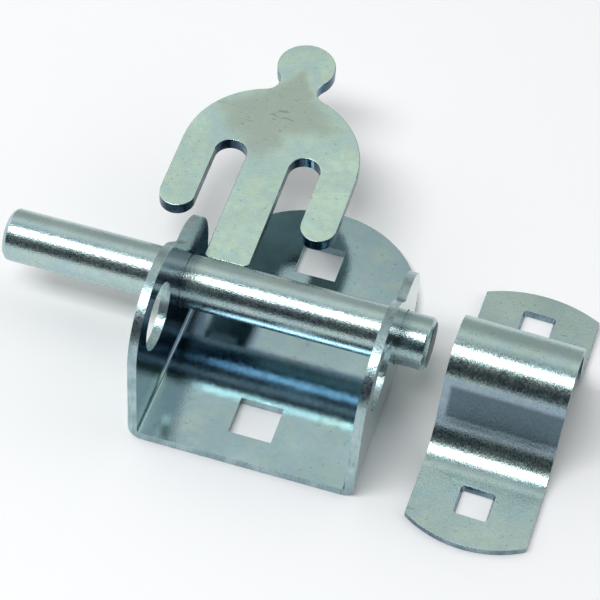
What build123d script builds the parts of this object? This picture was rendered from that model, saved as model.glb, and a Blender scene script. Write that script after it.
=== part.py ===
from build123d import *
from math import atan2, cos, degrees, radians, sin, sqrt, tan
import os

# Pad bolt: a folded bracket with two ears, a round bolt through them, a flat handle and a keep.
# All sizes are in millimetres. X runs along the bolt towards the keep, Z points away from the door.
# The origin is on the bracket's back face, under the bolt's axis and midway between the ears.
# The bolt is drawn withdrawn from the keep.

# Bolt
bolt_diameter = 16.0
bolt_length = 130.9
bolt_chamfer = 1.2
bolt_height = 21.0
bolt_middle_x = -21.85

# Bracket
bracket_width = 67.9
bracket_sheet = 2.7
bracket_inner_bend = 0.9
bracket_outer_bend = 4.4
bracket_front_y = -44.85
bracket_rear_y = 57.35
bracket_round_radius = 33.1
ear_lobe_radius = 21.1
ear_lobe_height = 31.2
ear_rear_radius = 19.3
ear_flank_angle = 45.0
ear_corner_fillet = 2.0
right_ear_lean = 1.1
bolt_hole_clearance = 0.4
padlock_hole_diameter = 20.4
padlock_hole_margin = 8.4
bracket_hole_side = 13.1
bracket_hole_front_y = -29.35
bracket_hole_rear_y = 36.25

# Handle
handle_thickness = 4.2
handle_drop = 1.8
handle_tilt = 4.6
handle_offset_x = -0.35
handle_stem_width = 13.7
handle_slot_width = 10.0
handle_arm_width = 11.0
handle_bolt_gap = 0.3
handle_stem_corner = 1.6
handle_arm_start = 23.8
handle_slot_end = 54.0
handle_shoulder_y = 51.3
handle_head_distance = 39.1
handle_head_radius = 9.3
handle_neck_fillet = 4.5

# Weld between the handle and the bolt
weld_leg = 3.6
weld_bolt_gap = 0.1
weld_end_inset = 1.0

# Keep
keep_width = 35.7
keep_sheet = 1.9
keep_middle_x = 68.7
keep_middle_y = -0.75
keep_turn = -1.6
keep_bolt_clearance = 2.75
keep_arch_offset = -1.0
keep_arch_drop = 0.9
keep_leg_lean = 16.0
keep_foot_bend = 12.0
keep_front_length = 51.2
keep_rear_length = 47.0
keep_front_end_radius = 32.3
keep_rear_end_radius = 39.2
keep_front_hole_y = -36.0
keep_rear_hole_y = 34.4
keep_hole_side_top = 10.2
keep_hole_side_bottom = 9.0
keep_hole_corner = 0.6

os.makedirs("parts", exist_ok=True)

bolt_radius = bolt_diameter / 2
half_width = bracket_width / 2

# The bolt runs along X through both ears, with a chamfer at each end.
with BuildPart(Plane.YZ.offset(bolt_middle_x)) as bolt_rod:
    with Locations((0, bolt_height, 0)):
        Cylinder(bolt_radius, bolt_length)
    chamfer(bolt_rod.edges().filter_by(GeomType.CIRCLE), bolt_chamfer)

# The bracket starts as a folded channel, with the right ear leaning out a little. The side view of
# the ears is cut from it, then the flat rear end of the plate and the holes follow.
channel_top = ear_lobe_height + ear_lobe_radius + 1
lean_slope = tan(radians(right_ear_lean))
lean_sheet = bracket_sheet / cos(radians(right_ear_lean))
inner_half = half_width - bracket_sheet
right_inner = half_width - lean_sheet
lobe_y = bracket_front_y + ear_lobe_radius
flank_y = cos(radians(ear_flank_angle))
flank_z = sin(radians(ear_flank_angle))
flank_top = (lobe_y + ear_lobe_radius * flank_y, ear_lobe_height + ear_lobe_radius * flank_z)
flank_reach = flank_top[0] * flank_y + (flank_top[1] - bolt_height) * flank_z
flank_foot = (flank_reach * flank_y, bolt_height + flank_reach * flank_z)
padlock_y = bracket_front_y + padlock_hole_margin + padlock_hole_diameter / 2
padlock_z = ear_lobe_height + ear_lobe_radius - padlock_hole_margin - padlock_hole_diameter / 2
round_y = bracket_rear_y - bracket_round_radius

with BuildPart() as bracket:
    with BuildSketch(Plane.XZ.offset(-ear_rear_radius)) as channel_section:
        with BuildLine():
            Polyline(
                (-half_width, channel_top),
                (-half_width, 0),
                (half_width, 0),
                (half_width + channel_top * lean_slope, channel_top),
                close=True,
            )
        make_face()
        fillet(channel_section.vertices().group_by(Axis.Y)[0], bracket_outer_bend)
        with BuildSketch(mode=Mode.SUBTRACT) as channel_inside:
            with BuildLine():
                Polyline(
                    (-inner_half, 2 * channel_top),
                    (-inner_half, bracket_sheet),
                    (right_inner + bracket_sheet * lean_slope, bracket_sheet),
                    (right_inner + 2 * channel_top * lean_slope, 2 * channel_top),
                    close=True,
                )
            make_face()
            fillet(channel_inside.vertices().group_by(Axis.Y)[0], bracket_inner_bend)
    extrude(amount=ear_rear_radius - bracket_front_y)
    with BuildSketch(Plane.YZ) as ear_side:
        with Locations((lobe_y, ear_lobe_height)):
            Circle(ear_lobe_radius)
        with Locations((lobe_y, ear_lobe_height / 2)):
            Rectangle(2 * ear_lobe_radius, ear_lobe_height)
        with Locations((0, bolt_height)):
            Circle(ear_rear_radius)
        with Locations(((bracket_front_y + ear_rear_radius) / 2, bolt_height / 2)):
            Rectangle(ear_rear_radius - bracket_front_y, bolt_height)
        with BuildLine():
            Polyline((lobe_y, ear_lobe_height), flank_top, flank_foot, (0, bolt_height), close=True)
        make_face()
        fillet(ear_side.vertices().sort_by(Axis.Y)[-2], ear_corner_fillet)
    extrude(amount=bracket_width, both=True, mode=Mode.INTERSECT)
    with BuildSketch() as rear_plate:
        with Locations((0, round_y)):
            Circle(bracket_round_radius)
        with Locations((0, (ear_rear_radius + round_y) / 2)):
            Rectangle(2 * bracket_round_radius, round_y - ear_rear_radius)
        with Locations((0, ear_rear_radius - half_width)):
            Rectangle(bracket_width, bracket_width, mode=Mode.SUBTRACT)
    extrude(amount=bracket_sheet)
    with BuildSketch() as plate_holes:
        with Locations((0, bracket_hole_front_y), (0, bracket_hole_rear_y)):
            Rectangle(bracket_hole_side, bracket_hole_side)
    extrude(amount=bracket_sheet, mode=Mode.SUBTRACT)
    with BuildSketch(Plane.YZ) as ear_holes:
        with Locations((0, bolt_height)):
            Circle(bolt_radius + bolt_hole_clearance)
        with Locations((padlock_y, padlock_z)):
            Circle(padlock_hole_diameter / 2)
    extrude(amount=bracket_width, both=True, mode=Mode.SUBTRACT)

# The handle is a flat plate. Its plane holds the bolt's axis direction, and local Y runs from the
# axis out to the head. Half of the outline is drawn and mirrored.
handle_x = bolt_middle_x + handle_offset_x
handle_normal = (0, -sin(radians(handle_tilt)), cos(radians(handle_tilt)))
handle_plane = Plane(origin=(handle_x, 0, bolt_height), x_dir=(1, 0, 0), z_dir=handle_normal)
stem_half = handle_stem_width / 2
arm_inner = stem_half + handle_slot_width
arm_outer = arm_inner + handle_arm_width
stem_start = bolt_radius + handle_bolt_gap
tip_radius = handle_arm_width / 2
slot_radius = handle_slot_width / 2
tip_y = handle_arm_start + tip_radius
slot_y = handle_slot_end - slot_radius

# The neck arc touches the shoulder circle and the head circle.
handle_head_y = handle_shoulder_y + handle_head_distance
shoulder_reach = arm_outer + handle_neck_fillet
head_reach = handle_head_radius + handle_neck_fillet
neck_rise = (handle_head_distance**2 + shoulder_reach**2 - head_reach**2) / (2 * handle_head_distance)
neck_x = sqrt(shoulder_reach**2 - neck_rise**2)
neck_y = handle_shoulder_y + neck_rise
head_angle = degrees(atan2(neck_y - handle_head_y, neck_x))
shoulder_angle = degrees(atan2(neck_rise, neck_x))

with BuildPart() as handle:
    with BuildSketch(handle_plane.offset(-handle_drop)) as handle_face:
        with BuildLine() as half_outline:
            CenterArc((0, handle_head_y), handle_head_radius, 90, head_angle - 90)
            CenterArc((neck_x, neck_y), handle_neck_fillet, 180 + head_angle, shoulder_angle - head_angle)
            CenterArc((0, handle_shoulder_y), arm_outer, 0, shoulder_angle)
            Line((arm_outer, handle_shoulder_y), (arm_outer, tip_y))
            CenterArc((arm_inner + tip_radius, tip_y), tip_radius, 180, 180)
            Line((arm_inner, tip_y), (arm_inner, slot_y))
            CenterArc((stem_half + slot_radius, slot_y), slot_radius, 0, 180)
            Line((stem_half, slot_y), (stem_half, stem_start + handle_stem_corner))
            CenterArc(
                (stem_half - handle_stem_corner, stem_start + handle_stem_corner), handle_stem_corner, 270, 90
            )
            Line((stem_half - handle_stem_corner, stem_start), (0, stem_start))
            mirror(about=Plane.YZ)
        make_face()
    extrude(amount=handle_thickness)

# The weld is a bead under the stem. Its inner side follows the bolt at a small distance.
weld_radius = bolt_radius + weld_bolt_gap
weld_length = handle_stem_width - 2 * handle_stem_corner - 2 * weld_end_inset
weld_outward = (0, cos(radians(handle_tilt)), sin(radians(handle_tilt)))
weld_side = Plane(origin=(handle_x - weld_length / 2, 0, bolt_height), x_dir=weld_outward, z_dir=(1, 0, 0))

with BuildPart() as handle_weld:
    with BuildSketch(weld_side) as weld_section:
        with BuildLine():
            Polyline(
                (bolt_radius / 2, -handle_drop),
                (stem_start + weld_leg, -handle_drop),
                (stem_start - weld_leg / 2, -handle_drop - weld_leg),
                (bolt_radius / 2, -handle_drop - weld_leg),
                close=True,
            )
        make_face()
        Circle(weld_radius, mode=Mode.SUBTRACT)
    extrude(amount=weld_length)

# The keep is a strap bent over the bolt's path. Half of its upper line is drawn from the arch down
# the leaning leg and round the foot bend, and the strap's thickness lies under that line.
arch_inner = bolt_radius + keep_bolt_clearance
arch_outer = arch_inner + keep_sheet
lean = radians(keep_leg_lean)
arch_height = bolt_height - keep_arch_drop
foot_drop = arch_height - keep_sheet - keep_foot_bend
foot_y = (arch_outer + keep_foot_bend + foot_drop * sin(lean)) / cos(lean)
foot_inner = keep_foot_bend + keep_sheet
foot_z = keep_sheet + keep_foot_bend
keep_plane = Plane(origin=(keep_middle_x, keep_middle_y, 0), x_dir=(1, 0, 0), z_dir=(0, 0, 1))
keep_frame = keep_plane.rotated((0, 0, keep_turn))
keep_half = keep_width / 2
keep_side = Plane(
    origin=keep_frame.from_local_coords((-keep_half, keep_arch_offset, 0)),
    x_dir=keep_frame.y_dir,
    z_dir=keep_frame.x_dir,
)
reach = max(keep_front_length, keep_rear_length) + abs(keep_arch_offset)
front_corner_y = keep_front_length - keep_front_end_radius + sqrt(keep_front_end_radius**2 - keep_half**2)
rear_corner_y = keep_rear_length - keep_rear_end_radius + sqrt(keep_rear_end_radius**2 - keep_half**2)
keep_hole_taper = degrees(atan2((keep_hole_side_top - keep_hole_side_bottom) / 2, keep_sheet))

with BuildPart() as keep:
    with BuildSketch(keep_side) as keep_section:
        with BuildLine() as keep_profile:
            CenterArc((0, arch_height), arch_outer, keep_leg_lean, 90 - keep_leg_lean)
            Line(
                (arch_outer * cos(lean), arch_height + arch_outer * sin(lean)),
                (foot_y - keep_foot_bend * cos(lean), foot_z - keep_foot_bend * sin(lean)),
            )
            CenterArc((foot_y, foot_z), keep_foot_bend, 180 + keep_leg_lean, 90 - keep_leg_lean)
            Line((foot_y, keep_sheet), (reach, keep_sheet))
            Line((reach, keep_sheet), (reach, 0))
            Line((reach, 0), (foot_y, 0))
            CenterArc((foot_y, foot_z), foot_inner, 180 + keep_leg_lean, 90 - keep_leg_lean)
            Line(
                (foot_y - foot_inner * cos(lean), foot_z - foot_inner * sin(lean)),
                (arch_inner * cos(lean), arch_height + arch_inner * sin(lean)),
            )
            CenterArc((0, arch_height), arch_inner, keep_leg_lean, 90 - keep_leg_lean)
            Line((0, arch_height + arch_inner), (0, arch_height + arch_outer))
        make_face()
        mirror(about=Plane.YZ)
    extrude(amount=keep_width)
    with BuildSketch(keep_frame) as keep_plan:
        with BuildLine():
            ThreePointArc((-keep_half, rear_corner_y), (0, keep_rear_length), (keep_half, rear_corner_y))
            Line((keep_half, rear_corner_y), (keep_half, -front_corner_y))
            ThreePointArc((keep_half, -front_corner_y), (0, -keep_front_length), (-keep_half, -front_corner_y))
            Line((-keep_half, -front_corner_y), (-keep_half, rear_corner_y))
        make_face()
    extrude(amount=arch_height + 2 * arch_outer, mode=Mode.INTERSECT)
    with BuildSketch(keep_frame) as keep_holes:
        with Locations((0, keep_front_hole_y), (0, keep_rear_hole_y)):
            RectangleRounded(keep_hole_side_bottom, keep_hole_side_bottom, keep_hole_corner)
    extrude(amount=keep_sheet, taper=-keep_hole_taper, mode=Mode.SUBTRACT)

bolt_rod.part.label = "bolt_rod"
bracket.part.label = "bracket"
handle.part.label = "handle"
handle_weld.part.label = "handle_weld"
keep.part.label = "keep"

export_step(bolt_rod.part, "parts/bolt_rod.step")
export_step(bracket.part, "parts/bracket.step")
export_step(handle.part, "parts/handle.step")
export_step(handle_weld.part, "parts/handle_weld.step")
export_step(keep.part, "parts/keep.step")
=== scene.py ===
import math

import bmesh
import bpy
import numpy as np
from mathutils import Matrix, Vector


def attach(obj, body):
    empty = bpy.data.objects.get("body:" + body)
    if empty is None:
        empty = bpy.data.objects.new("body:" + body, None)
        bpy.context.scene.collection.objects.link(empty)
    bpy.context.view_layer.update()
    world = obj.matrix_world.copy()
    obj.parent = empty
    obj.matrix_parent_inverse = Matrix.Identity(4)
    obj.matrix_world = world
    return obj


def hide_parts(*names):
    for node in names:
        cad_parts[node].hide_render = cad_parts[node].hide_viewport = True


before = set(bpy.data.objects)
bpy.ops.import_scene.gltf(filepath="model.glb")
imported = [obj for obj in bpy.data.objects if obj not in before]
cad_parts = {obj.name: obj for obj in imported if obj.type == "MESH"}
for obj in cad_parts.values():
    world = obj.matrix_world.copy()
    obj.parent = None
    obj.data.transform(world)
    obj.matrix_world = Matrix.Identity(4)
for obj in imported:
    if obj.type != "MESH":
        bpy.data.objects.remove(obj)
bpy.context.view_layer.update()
print("frame loaded:", ", ".join(sorted(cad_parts)))


class Wire:
    # one socket, so that shader maths reads as plain arithmetic
    def __init__(self, finish, socket):
        self.finish = finish
        self.socket = socket

    def __add__(self, other):
        return self.finish.maths("ADD", self, other)

    def __radd__(self, other):
        return self.finish.maths("ADD", other, self)

    def __sub__(self, other):
        return self.finish.maths("SUBTRACT", self, other)

    def __rsub__(self, other):
        return self.finish.maths("SUBTRACT", other, self)

    def __mul__(self, other):
        return self.finish.maths("MULTIPLY", self, other)

    def __rmul__(self, other):
        return self.finish.maths("MULTIPLY", other, self)

    def __abs__(self):
        return self.finish.maths("ABSOLUTE", self)


class Finish:
    # a material, or the world, whose nodes are made one by one
    def __init__(self, owner):
        owner.use_nodes = True
        self.tree = owner.node_tree
        self.tree.nodes.clear()

    def node(self, kind, settings=None, links=None):
        made = self.tree.nodes.new(kind)
        for name, value in (settings or {}).items():
            setattr(made, name, value)
        for name, value in (links or {}).items():
            socket = made.inputs[name]
            if isinstance(value, Wire):
                self.tree.links.new(value.socket, socket)
            else:
                socket.default_value = value
        return made

    def out(self, kind, output, settings=None, links=None):
        return Wire(self, self.node(kind, settings, links).outputs[output])

    def maths(self, operation, *values):
        return self.out("ShaderNodeMath", 0, {"operation": operation}, dict(enumerate(values)))

    def vectors(self, operation, first, second):
        return self.out("ShaderNodeVectorMath", 0, {"operation": operation}, {0: first, 1: second})

    def parts(self, vector):
        split = self.node("ShaderNodeSeparateXYZ", None, {0: vector})
        return [Wire(self, output) for output in split.outputs]

    def clamped(self, value):
        return self.out("ShaderNodeClamp", 0, None, {0: value})

    def rise(self, value, low, high, atLow=0.0, atHigh=1.0):
        # smoothly from 0 to 1 as value goes from low to high
        settings = {"interpolation_type": "SMOOTHSTEP"}
        return self.out("ShaderNodeMapRange", 0, settings, {0: value, 1: low, 2: high, 3: atLow, 4: atHigh})

    def fall(self, value, low, high):
        # smoothly from 1 to 0 as value goes from low to high
        return self.rise(value, low, high, 1.0, 0.0)

    def mixed(self, factor, first, second):
        links = {0: factor, 6: first, 7: second}
        return self.out("ShaderNodeMix", 2, {"data_type": "RGBA"}, links)

    def noise(self, place, scale, detail=3.0, rough=0.55):
        links = {"Vector": place, "Scale": scale, "Detail": detail, "Roughness": rough}
        return self.out("ShaderNodeTexNoise", 0, None, links)

    def placed(self, scale=(1, 1, 1), turn=(0, 0, 0), shift=(0, 0, 0)):
        # the piece's own coordinates, in metres, stretched, turned or shifted
        here = self.out("ShaderNodeTexCoord", "Object")
        links = {"Vector": here, "Location": shift, "Rotation": turn, "Scale": scale}
        return self.out("ShaderNodeMapping", 0, None, links)

    def bumped(self, height, strength, distance):
        links = {"Strength": strength, "Distance": distance, "Height": height}
        return self.out("ShaderNodeBump", 0, None, links)

    def show(self, shaderKind, links, outputKind="ShaderNodeOutputMaterial"):
        shader = self.out(shaderKind, 0, None, links)
        self.node(outputKind, None, {"Surface": shader})

    def showMetal(self, colour, roughness, bump):
        self.show("ShaderNodeBsdfPrincipled", {
            "Base Color": colour, "Metallic": 1.0, "Roughness": roughness, "Normal": bump,
        })


def tint(red, green, blue):
    return (red, green, blue, 1)


def shown(name, data):
    # an object at the origin, linked to the scene
    made = bpy.data.objects.new(name, data)
    bpy.context.scene.collection.objects.link(made)
    return made


# patterns that all zinc faces share: scales in cells per metre, levels between which a pattern fades in
zincGrain = {
    "cloudLevels": (0.35, 0.68),
    "warmthScale": 2.1,                  # this scale and the next two are times the look's cloudScale
    "coolnessScale": 1.5,
    "violetScale": 2.6,
    "warmthLevels": (0.50, 0.72),
    "warmthStrength": 0.65,
    "coolnessLevels": (0.52, 0.72),
    "coolnessStrength": 0.6,
    "violetLevels": (0.55, 0.68),
    "violetTint": tint(0.40, 0.46, 0.60),
    "blotchScale": 240.0,
    "coolBlotchLevels": (0.50, 0.62),
    "warmBlotchLevels": (0.38, 0.50),
    "mottleScale": 420.0,
    "mottleLevels": (0.35, 0.75),
    "mottleStrength": 0.2,
    "mottleTint": tint(0.33, 0.46, 0.46),
    "peelScale": 2500.0,
    "lineScale": 1500.0,
    "lineStretch": (0.06, 1.0, 1.0),
    "scuffScale": 800.0,
    "scuffStretch": (0.3, 1.0, 1.0),
    "scuffTurn": (0, 0, 0.35),
    "scuffLevels": (0.62, 0.70),
    "scuffGroupScale": 110.0,            # scuffs come in groups of this scale
    "scuffGroupLevels": (0.50, 0.62),
    "speckScale": 900.0,
    "speckLevels": (0.69, 0.76),
    "darkTint": tint(0.20, 0.26, 0.26),
    "scuffDark": 0.6,
    "speckDark": 0.45,
    "bumpStrength": 0.3,
    "bumpDistance": 0.00004,
}
# how much each pattern adds to the roughness, and how deep it stands in the bump
zincRough = {"mottle": 0.12, "clouds": 0.08, "scuffs": 0.18, "specks": 0.15, "peel": 0.9}
zincHeight = {"peel": 12.0, "scuffs": 0.6}

plateZinc = {
    "pale": tint(0.43, 0.61, 0.64),
    "deep": tint(0.34, 0.495, 0.53),
    "warm": tint(0.48, 0.60, 0.53),
    "cool": tint(0.40, 0.56, 0.62),
    "roughness": 0.07,
    "cloudScale": 38.0,
    "scuffs": 0.35,
    "peel": 0.12,                        # how strongly the fine orange peel tilts the surface
    "streak": (1.0, 1.0, 1.0),           # stretch of the orange peel, below 1 is longer
    "lines": 0.2,
    "violet": 0.12,
    "blotch": 0.2,
}
keepZinc = dict(
    plateZinc,
    pale=tint(0.50, 0.65, 0.61),
    deep=tint(0.40, 0.54, 0.52),
    roughness=0.26,
    scuffs=0.9,
    peel=0.36,
    streak=(1.0, 0.5, 0.5),
    lines=0.0,
    violet=0.2,
    blotch=0.3,
)
handleZinc = dict(
    plateZinc,
    pale=tint(0.60, 0.80, 0.68),
    deep=tint(0.48, 0.66, 0.60),
    warm=tint(0.60, 0.74, 0.58),
    cool=tint(0.46, 0.64, 0.66),
    roughness=0.26,
    cloudScale=60.0,
    scuffs=0.5,
    peel=0.25,
    violet=0.15,
    blotch=0.35,
)
# painted shade: the handle's underside is a darker, duller copy of its face finish, standing in for the shade
# beneath it and for its dark reflection in the plate
undersidePaintedShadeZinc = dict(
    handleZinc,
    pale=tint(0.20, 0.27, 0.27),
    deep=tint(0.14, 0.19, 0.20),
    warm=tint(0.19, 0.23, 0.21),
    cool=tint(0.15, 0.21, 0.24),
    roughness=0.22,
)
rodZinc = dict(
    plateZinc,
    pale=tint(0.52, 0.66, 0.64),
    deep=tint(0.40, 0.54, 0.56),
    roughness=0.27,
    scuffs=0.6,
    peel=0.3,
    streak=(0.6, 1.0, 1.0),
    lines=0.1,
    violet=0.1,
)
weldZinc = dict(rodZinc, roughness=0.32, scuffs=1.0)

# the dulled area on the handle's shoulder: a wide diamond, and a slim one on it that points to the head
handlePatch = {
    "middle": (-0.0225, 0.0672, 0.0262),
    "shape": (46.0, 60.0, 1.0),          # one over its half width and half length, per metre
    "aside": 0.1,                        # how far the wide diamond stands to the left of the middle
    "wide": 1.08,
    "slimAt": 0.69,                      # how far towards the head the slim diamond stands
    "slim": (3.0, 1.6),
    "ragged": (1.3, 0.5),                # how far the clouds and the mottle move its rim
    "rim": (0.55, 1.15),
    "strength": 0.8,
    "tint": tint(0.45, 0.53, 0.46),
    "haloIn": (0.95, 1.3),               # a cooler ring round it
    "haloOut": (1.3, 1.75),
    "haloStrength": 0.45,
    "markLevels": (0.57, 0.64),          # scuffs in its middle
    "markStretch": 2.0,
    "markRim": (0.3, 0.7),
    "markStrength": 0.9,
    "dull": 0.15,
}


def wornPatch(finish, patch, masks, colour, cool, scuffs):
    # distance out of the nearer diamond, 1 at its rim before the clouds and the mottle make that ragged
    here, clouds, mottle, scuffNoise = masks
    offset = finish.vectors("SUBTRACT", here, patch["middle"])
    across, along, _ = finish.parts(finish.vectors("MULTIPLY", offset, patch["shape"]))
    outAcross, outAlong = abs(across), abs(along)
    slimAcross, slimAlong = patch["slim"]
    wide = abs(across + patch["aside"]) * patch["wide"] + outAlong
    slim = outAcross * slimAcross + abs(along - patch["slimAt"]) * slimAlong
    byClouds, byMottle = patch["ragged"]
    away = finish.maths("MINIMUM", wide, slim) + (clouds - 0.5) * byClouds + (mottle - 0.5) * byMottle
    worn = finish.fall(away, *patch["rim"])
    colour = finish.mixed(worn * patch["strength"], colour, patch["tint"])
    halo = finish.rise(away, *patch["haloIn"]) * finish.fall(away, *patch["haloOut"])
    colour = finish.mixed(halo * patch["haloStrength"], colour, cool)
    inMiddle = finish.fall(outAcross + outAlong * patch["markStretch"], *patch["markRim"])
    marks = finish.rise(scuffNoise, *patch["markLevels"]) * inMiddle
    return colour, finish.clamped(scuffs + worn * patch["dull"] + marks * patch["markStrength"])


def paintedReflectionBands(finish, bands, here, clouds, colour):
    # bands of painted reflection and shade mixed into the colour: each lies between two soft limits along one
    # axis and two along X
    places = finish.parts(here)
    for band in bands:
        level = places[band["axis"]] + (clouds - 0.5) * band["wander"]
        inside = finish.rise(level, *band["low"]) * finish.fall(level, *band["high"])
        inside = inside * finish.rise(places[0], *band["left"]) * finish.fall(places[0], *band["right"])
        colour = finish.mixed(inside * band["strength"], colour, band["tint"])
    return colour


def zincFinish(name, look, patch=None, bands=None):
    # cloudy zinc: wide clouds of tint, a fine mottle, dark specks and short scuffs, shallow rolling lines;
    # a noise runs about 0.5
    grain, cloudScale = zincGrain, look["cloudScale"]
    material = bpy.data.materials.new(name)
    finish = Finish(material)
    here = finish.placed()
    clouds = finish.noise(here, cloudScale, detail=4.0)
    warmth = finish.noise(finish.placed(shift=(0.3, 0.1, 0.2)), cloudScale * grain["warmthScale"])
    coolness = finish.noise(finish.placed(shift=(0.7, 0.4, 0.1)), cloudScale * grain["coolnessScale"])
    violet = finish.noise(finish.placed(shift=(0.9, 0.2, 0.4)), cloudScale * grain["violetScale"], detail=2.0)
    blotches = finish.noise(finish.placed(shift=(0.2, 0.5, 0.9)), grain["blotchScale"], detail=2.0)
    mottle = finish.noise(here, grain["mottleScale"])
    peel = finish.noise(finish.placed(scale=look["streak"]), grain["peelScale"], detail=1.5)
    lines = finish.noise(finish.placed(scale=grain["lineStretch"]), grain["lineScale"], detail=2.0)
    scuffPlace = finish.placed(scale=grain["scuffStretch"], turn=grain["scuffTurn"])
    scuffNoise = finish.noise(scuffPlace, grain["scuffScale"], rough=0.6)
    scuffGroups = finish.rise(finish.noise(here, grain["scuffGroupScale"]), *grain["scuffGroupLevels"])
    scuffs = finish.rise(scuffNoise, *grain["scuffLevels"]) * scuffGroups * look["scuffs"]
    specks = finish.rise(finish.noise(here, grain["speckScale"], detail=1.0), *grain["speckLevels"])

    colour = finish.mixed(finish.rise(clouds, *grain["cloudLevels"]), look["deep"], look["pale"])
    washes = (
        (finish.rise(warmth, *grain["warmthLevels"]) * grain["warmthStrength"], look["warm"]),
        (finish.rise(coolness, *grain["coolnessLevels"]) * grain["coolnessStrength"], look["cool"]),
        (finish.rise(blotches, *grain["coolBlotchLevels"]) * look["blotch"], look["cool"]),
        (finish.fall(blotches, *grain["warmBlotchLevels"]) * look["blotch"], look["warm"]),
        (finish.rise(violet, *grain["violetLevels"]) * look["violet"], grain["violetTint"]),
        (finish.rise(mottle, *grain["mottleLevels"]) * grain["mottleStrength"], grain["mottleTint"]),
    )
    for amount, wash in washes:
        colour = finish.mixed(amount, colour, wash)
    dull = scuffs
    if patch:
        masks = here, clouds, mottle, scuffNoise
        colour, dull = wornPatch(finish, patch, masks, colour, look["cool"], scuffs)
    # painted reflection and shade, where bands are given
    if bands:
        colour = paintedReflectionBands(finish, bands, here, clouds, colour)
    dark = finish.clamped(dull * grain["scuffDark"] + specks * grain["speckDark"])
    colour = finish.mixed(dark, colour, grain["darkTint"])

    roughness = look["roughness"] + (mottle - 0.5) * zincRough["mottle"]
    roughness = roughness + (clouds - 0.5) * zincRough["clouds"]
    roughness = roughness + dull * zincRough["scuffs"] + specks * zincRough["specks"]
    roughness = roughness + (peel - 0.5) * look["peel"] * zincRough["peel"]
    height = lines * look["lines"] + peel * look["peel"] * zincHeight["peel"] + mottle
    height = height - scuffs * zincHeight["scuffs"]
    bump = finish.bumped(height, grain["bumpStrength"], grain["bumpDistance"])
    finish.showMetal(colour, finish.clamped(roughness), bump)
    return material


edgeZinc = {
    "low": tint(0.30, 0.42, 0.45),
    "high": tint(0.45, 0.58, 0.59),
    "torn": tint(0.16, 0.22, 0.24),
    "roughness": 0.3,
    "stretch": 0.12,                     # stretch of the tears across the sheet, below 1 is longer
    "depth": 0.00026,
    "tearScale": 1400.0,
    "tearLevels": (0.50, 0.72),
    "tearStrength": 0.45,
    "tearRough": 0.35,
    "cloudScale": 160.0,
    "cloudLevels": (0.35, 0.70),
    "cloudRough": 0.15,
}
# the handle's punched walls: darker and torn like every punched wall, and further darkened almost to black, a
# painted dark reflection of the surroundings they mirror
handleEdgeDarkReflectionZinc = dict(
    edgeZinc,
    low=tint(0.03, 0.065, 0.10),
    high=tint(0.10, 0.18, 0.26),
    torn=tint(0.02, 0.035, 0.05),
    roughness=0.22,
    depth=0.00008,
)
barEndZinc = dict(
    edgeZinc,
    low=tint(0.04, 0.065, 0.075),
    high=tint(0.085, 0.125, 0.14),
    roughness=0.36,
    stretch=0.4,
    depth=0.00008,
)
keepEdgeZinc = dict(
    edgeZinc,
    low=tint(0.16, 0.23, 0.29),
    high=tint(0.30, 0.40, 0.46),
    torn=tint(0.10, 0.14, 0.18),
    depth=0.00008,
)


def punchedFinish(name, look):
    # the walls that a punch or a saw leaves: darker than the faces, torn in short streaks across the sheet
    material = bpy.data.materials.new(name)
    finish = Finish(material)
    tears = finish.noise(finish.placed(scale=(1.0, 1.0, look["stretch"])), look["tearScale"], rough=0.6)
    clouds = finish.noise(finish.placed(), look["cloudScale"])
    colour = finish.mixed(finish.rise(clouds, *look["cloudLevels"]), look["low"], look["high"])
    torn = finish.rise(tears, *look["tearLevels"]) * look["tearStrength"]
    colour = finish.mixed(torn, colour, look["torn"])
    roughness = look["roughness"] + (tears - 0.5) * look["tearRough"] + (clouds - 0.5) * look["cloudRough"]
    finish.showMetal(colour, finish.clamped(roughness), finish.bumped(tears, 0.5, look["depth"]))
    return material


# painted reflection on the keep's legs: a lavender band with a slate one inside it, which stops short of the
# strap's left edge, stand in for the dark surroundings that the legs mirror;
# axis 1 is Y and 2 is Z, low, high, left and right are soft limits in metres
keepLegPaintedReflection = (
    {
        "axis": 2, "low": (0.0075, 0.0095), "high": (0.0235, 0.0265),
        "left": (0.03, 0.04), "right": (0.10, 0.11),
        "wander": 0.002, "strength": 0.75, "tint": tint(0.26, 0.34, 0.43),
    },
    {
        "axis": 2, "low": (0.0115, 0.0128), "high": (0.0215, 0.0232),
        "left": (0.0520, 0.0536), "right": (0.10, 0.11),
        "wander": 0.002, "strength": 0.92, "tint": tint(0.10, 0.15, 0.18),
    },
)
# painted reflection and shade on the bracket: bluer and darker in front of the bar, under it on the left and
# on the left ear's inner face, where the sheet mirrors the bar and its shaded surroundings;
# warmer and darker on the outer faces of both ears, so that their reflection of the floor comes out dimmer
bracketPaintedReflectionAndShade = (
    {
        "axis": 1, "low": (-0.0222, -0.0192), "high": (-0.0050, -0.0022),
        "left": (-0.0329, -0.0325), "right": (0.0325, 0.0329),
        "wander": 0.002, "strength": 0.5, "tint": tint(0.15, 0.20, 0.38),
    },
    {
        "axis": 1, "low": (-0.0050, -0.0022), "high": (0.015, 0.020),
        "left": (-0.0329, -0.0325), "right": (-0.0110, -0.0080),
        "wander": 0.002, "strength": 0.6, "tint": tint(0.12, 0.18, 0.28),
    },
    {
        "axis": 2, "low": (0.006, 0.014), "high": (0.07, 0.08),
        "left": (-0.0329, -0.0325), "right": (-0.0310, -0.0300),
        "wander": 0.008, "strength": 0.6, "tint": tint(0.13, 0.23, 0.34),
    },
    {
        "axis": 2, "low": (0.005, 0.010), "high": (0.07, 0.08),
        "left": (0.0329, 0.0332), "right": (0.07, 0.08),
        "wander": 0.004, "strength": 0.7, "tint": tint(0.34, 0.43, 0.34),
    },
    {
        "axis": 2, "low": (0.005, 0.010), "high": (0.07, 0.08),
        "left": (-0.08, -0.07), "right": (-0.0337, -0.0334),
        "wander": 0.004, "strength": 0.7, "tint": tint(0.34, 0.43, 0.34),
    },
)

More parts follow.
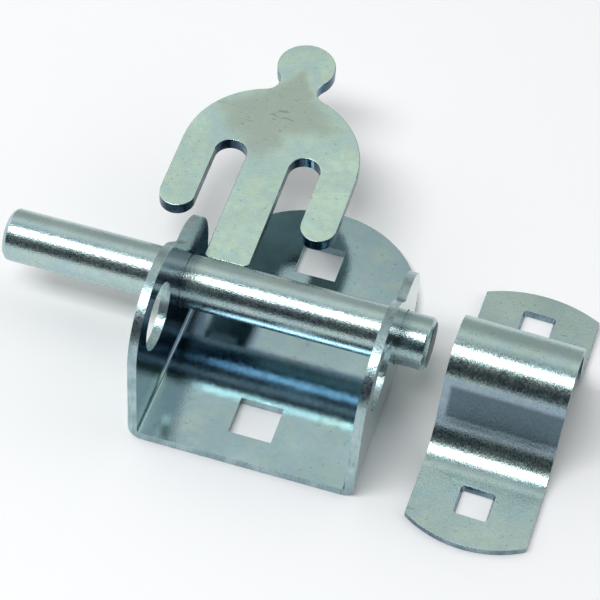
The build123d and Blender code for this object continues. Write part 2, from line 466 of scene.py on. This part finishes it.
bracketFinish = zincFinish("bracketSheet", plateZinc, bands=bracketPaintedReflectionAndShade)
bracketEdgeFinish = punchedFinish("bracketPunchedEdge", edgeZinc)
keepFinish = zincFinish("keepStrap", keepZinc, bands=keepLegPaintedReflection)
keepEdgeFinish = punchedFinish("keepPunchedEdge", keepEdgeZinc)
handleFinish = zincFinish("handlePlate", handleZinc, patch=handlePatch)
handleEdgeFinish = punchedFinish("handlePunchedEdge", handleEdgeDarkReflectionZinc)
# the underside's darker copy of the handle finish is painted shade
handleUnderPaintedShadeFinish = zincFinish("handleUndersidePaintedShade", undersidePaintedShadeZinc)
rodFinish = zincFinish("boltBar", rodZinc)
rodEndFinish = punchedFinish("boltBarEnd", barEndZinc)
weldFinish = zincFinish("weldBead", weldZinc)
print("finishes made")


sheetValues = {
    "merge": 2e-6,                       # points nearer than this become one
    "flat": math.radians(0.4),           # faces that turn less than this become one
    "sharp": math.radians(28),           # an arris that turns more is shaded sharp
    "bevelFrom": math.radians(35),       # an arris that turns more is rounded
    "bevelSteps": 3,
}


def sheetPiece(name, node, body, whichFinish, soften, finishes):
    # a merged copy of a CAD sheet: flat triangles joined into whole faces, then every arris rounded a little;
    # whichFinish gives each face's place in finishes: 0 for a face, 1 for a punched wall, 2 for an underside
    made = bpy.data.meshes.new(name)
    work = bmesh.new()
    work.from_mesh(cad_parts[node].data)
    bmesh.ops.remove_doubles(work, verts=work.verts, dist=sheetValues["merge"])
    bmesh.ops.dissolve_limit(work, angle_limit=sheetValues["flat"], verts=work.verts, edges=work.edges)
    for face in work.faces:
        face.smooth = True
    work.to_mesh(made)
    work.free()
    count = len(made.polygons)
    normals = np.zeros(count * 3)
    centres = np.zeros(count * 3)
    made.polygons.foreach_get("normal", normals)
    made.polygons.foreach_get("center", centres)
    places = whichFinish(normals.reshape(-1, 3), centres.reshape(-1, 3))
    made.materials.clear()
    for finish in finishes:
        made.materials.append(finish)
    made.polygons.foreach_set("material_index", places.astype(np.int32))
    made.set_sharp_from_angle(angle=sheetValues["sharp"])
    piece = shown(name, made)
    bevel = piece.modifiers.new("softArris", "BEVEL")
    bevel.width = soften
    bevel.segments = sheetValues["bevelSteps"]
    bevel.limit_method = "ANGLE"
    bevel.angle_limit = sheetValues["bevelFrom"]
    bevel.harden_normals = True
    bevel.use_clamp_overlap = True
    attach(piece, body)
    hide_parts(node)
    print(name, "from", node, count, "faces,", int((places == 1).sum()), "of them punched walls")


# a slant is how far a face's normal may lean to one side, 0 for not at all
bracketValues = {
    "soften": 0.00035,
    "earsFrom": 0.003,                   # walls above this height belong to an ear
    "earSlant": 0.1,
    "plateTo": 0.0028,                   # and those below this one to the plate
    "plateSlant": 0.3,
    "bendFrom": 0.028,                   # the bends lie further out than this
    "bendTo": 0.02,                      # and end here towards the rear
    "bendSlant": 0.05,
}
keepValues = {
    "soften": 0.0003,
    "turn": math.radians(-1.6),          # how the keep stands turned on the door
    "sideFrom": 0.9,                     # a normal this much along the strap's width is an edge's
    "flangeFrom": 0.029,
    "flangeSlant": 0.8,
}
handleValues = {
    "soften": 0.0003,
    "tilt": math.radians(4.6),           # how the handle rises towards its head
    "wallSlant": 0.5,
}


def bracketWalls(normals, centres):
    # an ear's walls don't face along X, and the plate's don't face up, except where it bends into an ear
    values = bracketValues
    height = centres[:, 2]
    inPlate = (height < values["plateTo"]) & (height > 0.0)
    acrossEar = (np.abs(normals[:, 0]) < values["earSlant"]) & (height > values["earsFrom"])
    acrossPlate = (np.abs(normals[:, 2]) < values["plateSlant"]) & inPlate
    outside = (np.abs(centres[:, 0]) > values["bendFrom"]) & (centres[:, 1] < values["bendTo"])
    bend = (np.abs(normals[:, 1]) < values["bendSlant"]) & outside
    return acrossEar | (acrossPlate & ~bend)


def keepWalls(normals, centres):
    # the strap's two long edges, then the flanges' curved ends and their holes
    values = keepValues
    across = normals[:, 0] * math.cos(values["turn"]) + normals[:, 1] * math.sin(values["turn"])
    onFlange = np.abs(centres[:, 1]) > values["flangeFrom"]
    steep = np.abs(normals[:, 2]) < values["flangeSlant"]
    return (np.abs(across) > values["sideFrom"]) | (onFlange & steep)


def handleWalls(normals, centres):
    # how far a normal points out of the handle's top tells walls and underside apart
    tilt = handleValues["tilt"]
    out = -normals[:, 1] * math.sin(tilt) + normals[:, 2] * math.cos(tilt)
    return np.where(np.abs(out) < handleValues["wallSlant"], 1, np.where(out < 0, 2, 0))


sheetPiece("bracketSheetPiece", "bracket", "bracket", bracketWalls, bracketValues["soften"],
           (bracketFinish, bracketEdgeFinish))
sheetPiece("keepStrapPiece", "keep", "bracket", keepWalls, keepValues["soften"],
           (keepFinish, keepEdgeFinish))
sheetPiece("handlePlatePiece", "handle", "handle", handleWalls, handleValues["soften"],
           (handleFinish, handleEdgeFinish, handleUnderPaintedShadeFinish))


barValues = {
    "radius": 0.008,
    "left": -0.0873,
    "right": 0.0436,
    "axis": 0.021,                       # height of the bar's axis
    "chamfer": 0.0012,
    "soften": 0.00045,                   # how far from an arris its rounding begins
    "softSteps": 6,
    "plainFrom": 0.002,                  # the straight run begins this far behind a chamfer
    "plainSteps": 60,
    "around": 160,
    "endRing": 0.003,                    # each end face has rings of these two radii
    "endPin": 0.00002,
    "endDepth": 0.0001,                  # faces this near an end take the end's finish
    "merge": 1e-7,
}


def roundedCorner(before, corner, after, reach, steps):
    # quadratic curve from just before the corner to just after it
    before, corner, after = np.array(before), np.array(corner), np.array(after)
    start = corner + (before - corner) / np.linalg.norm(before - corner) * reach
    end = corner + (after - corner) / np.linalg.norm(after - corner) * reach
    t = np.linspace(0, 1, steps)[:, None]
    return (1 - t) ** 2 * start + 2 * t * (1 - t) * corner + t ** 2 * end


def gridQuads(rows, columns):
    # quads between neighbouring rows of points, the last column joined to the first
    row, column = np.meshgrid(np.arange(rows - 1), np.arange(columns), indexing="ij")
    ahead = (column + 1) % columns
    here, below = row * columns, (row + 1) * columns
    return np.stack([here + column, here + ahead, below + ahead, below + column], -1).reshape(-1, 4)


def barSurface(values):
    # surface of revolution about the bolt's axis: point(s, a) = (x(s), r(s) cos a, axis + r(s) sin a),
    # where (x, r) runs over one end face, its chamfer, along the bar and over the other end
    radius, cut, left, right = values["radius"], values["chamfer"], values["left"], values["right"]
    turns = [(left, 0), (left, radius - cut), (left + cut, radius),
             (right - cut, radius), (right, radius - cut), (right, 0)]
    corners = [roundedCorner(*three, values["soften"], values["softSteps"])
               for three in zip(turns[:-2], turns[1:-1], turns[2:])]
    plain = cut + values["plainFrom"]
    along = np.linspace(left + plain, right - plain, values["plainSteps"])
    run = np.stack([along, np.full(len(along), radius)], -1)
    leftEnd = [[left, values["endPin"]], [left, values["endRing"]]]
    rightEnd = [[right, values["endRing"]], [right, values["endPin"]]]
    profile = np.concatenate([leftEnd, *corners[:2], run, *corners[2:], rightEnd])
    angle = np.linspace(0, 2 * math.pi, values["around"], endpoint=False)
    x = np.repeat(profile[:, :1], len(angle), 1)
    r = np.repeat(profile[:, 1:], len(angle), 1)
    points = np.stack([x, r * np.cos(angle), values["axis"] + r * np.sin(angle)], -1)
    return points.reshape(-1, 3), gridQuads(len(profile), len(angle))


def closeEnds(mesh, merge):
    # the two pin holes are filled and all faces turned outwards
    work = bmesh.new()
    work.from_mesh(mesh)
    bmesh.ops.remove_doubles(work, verts=work.verts, dist=merge)
    bmesh.ops.holes_fill(work, edges=[edge for edge in work.edges if edge.is_boundary], sides=0)
    bmesh.ops.recalc_face_normals(work, faces=work.faces)
    for face in work.faces:
        face.smooth = True
    work.to_mesh(mesh)
    work.free()


points, quads = barSurface(barValues)
barMesh = bpy.data.meshes.new("boltBarPiece")
barMesh.from_pydata(points.tolist(), [], quads.tolist())
barMesh.materials.append(rodFinish)
barMesh.materials.append(rodEndFinish)
barPiece = shown("boltBarPiece", barMesh)
closeEnds(barMesh, barValues["merge"])
barCentres = np.zeros(len(barMesh.polygons) * 3)
barMesh.polygons.foreach_get("center", barCentres)
barX = barCentres.reshape(-1, 3)[:, 0]
onRight = barX > barValues["right"] - barValues["endDepth"]
onLeft = barX < barValues["left"] + barValues["endDepth"]
barMesh.polygons.foreach_set("material_index", (onLeft | onRight).astype(np.int32))
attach(barPiece, "bolt")
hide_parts("bolt_rod")
print("bar made:", len(barMesh.polygons), "faces")

# the weld bead is the CAD node itself
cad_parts["handle_weld"].data.materials.clear()
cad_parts["handle_weld"].data.materials.append(weldFinish)


studio = {
    "floor": tint(0.95, 0.957, 0.966),
    "floorSpeck": tint(0.915, 0.925, 0.94),
    "floorSpeckScale": 500.0,
    "floorSpeckStrength": 0.12,
    "floorRoughness": 0.85,
    "floorSize": 6.0,
    "floorHeight": -0.0002,
    "overheadPower": 35.0,
    "overheadSize": (1.9, 0.68),
    "overheadPlace": (-0.80, -0.80, 2.0),
    "overheadAim": (-0.80, 0.0, 0.02),
}
# the room round the part; a lean is an angle in radians from straight up towards the wall behind
room = {
    "wallFrom": (-0.25, 0.42),           # dim in front, light from overhead back to the wall
    "wallLight": 0.93,
    "lowerWallFrom": (0.42, 0.95),       # the wall gets dimmer towards the floor
    "lowerWallDim": 0.46,
    "screenFrom": (0.55, 0.85),          # a pale screen far out on each side
    "screenLight": 0.7,
    "dimLight": 0.035,
    "dimTint": tint(0.6, 0.75, 1.0),
    "lightTint": tint(1.0, 1.0, 0.97),
}

half, height = studio["floorSize"] / 2, studio["floorHeight"]
floorCorners = [(x, y, height) for x, y in ((-half, -half), (half, -half), (half, half), (-half, half))]
floorMesh = bpy.data.meshes.new("floor")
floorMesh.from_pydata(floorCorners, [], [(0, 1, 2, 3)])
floor = shown("floor", floorMesh)
floorMaterial = bpy.data.materials.new("floorPaper")
finish = Finish(floorMaterial)
grain = finish.noise(finish.placed(), studio["floorSpeckScale"])
paper = finish.mixed(grain * studio["floorSpeckStrength"], studio["floor"], studio["floorSpeck"])
finish.show("ShaderNodeBsdfPrincipled", {"Base Color": paper, "Roughness": studio["floorRoughness"]})
floorMesh.materials.append(floorMaterial)

world = bpy.data.worlds.new("studio")
bpy.context.scene.world = world
finish = Finish(world)
sideways, backward, upward = finish.parts(finish.out("ShaderNodeTexCoord", "Generated"))
lean = finish.maths("ARCTAN2", backward, upward)
wall = finish.rise(lean, *room["wallFrom"])
screen = finish.rise(abs(sideways), *room["screenFrom"])
wallLight = room["wallLight"] - finish.rise(lean, *room["lowerWallFrom"]) * room["lowerWallDim"]
strength = wall * wallLight + screen * room["screenLight"] + room["dimLight"]
hue = finish.mixed(finish.clamped(wall + screen), room["dimTint"], room["lightTint"])
finish.show("ShaderNodeBackground", {"Color": hue, "Strength": strength}, "ShaderNodeOutputWorld")

lamp = bpy.data.lights.new("overhead", "AREA")
lamp.shape = "RECTANGLE"
lamp.size, lamp.size_y = studio["overheadSize"]
lamp.energy = studio["overheadPower"]
overhead = shown("overhead", lamp)
overhead.location = studio["overheadPlace"]
aim = Vector(studio["overheadAim"]) - Vector(studio["overheadPlace"])
overhead.rotation_euler = aim.to_track_quat("-Z", "Y").to_euler()

# the camera stands in front, to the right and above, and looks down its own third axis
cameraValues = {
    "place": (0.1018, -0.40855, 0.5118),
    "right": (0.9553, 0.2913, 0.0511),
    "up": (-0.2529, 0.7150, 0.6518),
    "back": (0.1533, -0.6356, 0.7567),
    "lens": 132.3,
    "sensor": 36.0,
    "clipStart": 0.01,
}
cameraData = bpy.data.cameras.new("camera")
cameraData.lens = cameraValues["lens"]
cameraData.sensor_width = cameraValues["sensor"]
cameraData.clip_start = cameraValues["clipStart"]
camera = shown("camera", cameraData)
turned = Matrix((cameraValues["right"], cameraValues["up"], cameraValues["back"])).transposed().to_4x4()
camera.matrix_world = Matrix.Translation(cameraValues["place"]) @ turned
bpy.context.scene.camera = camera
bpy.context.scene.view_settings.view_transform = "Standard"
print("studio set")
